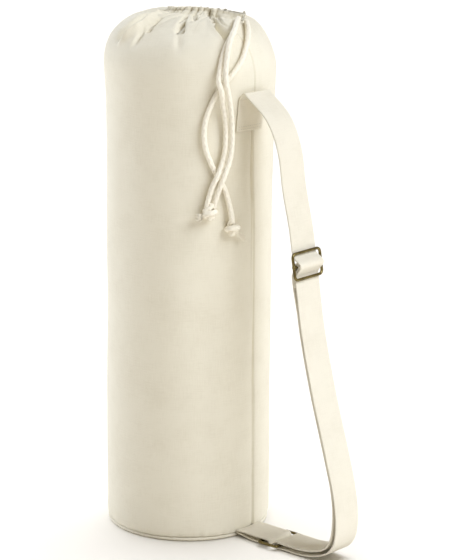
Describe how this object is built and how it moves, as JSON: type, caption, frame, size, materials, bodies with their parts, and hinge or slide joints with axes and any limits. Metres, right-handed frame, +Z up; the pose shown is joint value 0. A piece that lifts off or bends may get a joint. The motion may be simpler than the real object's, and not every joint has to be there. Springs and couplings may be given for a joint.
{
  "type": "yoga mat bag",
  "caption": "Tall round cotton bag for a rolled mat, with a gathered drawcord mouth, a piped flat base and an adjustable webbing shoulder strap.",
  "frame": {"origin": "middle of the underside of the base, on the surface that the bag stands on", "axes": "+Z up along the bag, +X from the bag's middle to the side seam that carries the strap"},
  "size_m": [0.359, 0.2073, 0.6521],
  "materials": {
    "cotton_cloth": "plain-woven unbleached cotton, matt",
    "cotton_webbing": "heavy woven cotton webbing, matt",
    "cotton_cord": "soft braided cotton, matt",
    "aged_brass": "aged brass plate, satin"
  },
  "bodies": {
    "root": {"body_cloth": "cotton_cloth", "base_panel": "cotton_cloth", "base_piping": "cotton_cloth", "shoulder_strap": "cotton_webbing", "ring_tab": "cotton_webbing", "strap_slider": "aged_brass", "lower_ring": "aged_brass", "drawcord_front": "cotton_cord", "drawcord_back": "cotton_cord", "drawcord_crossing": "cotton_cord", "pair_knot": "cotton_cord", "single_knot": "cotton_cord"}
  },
  "joints": []
}
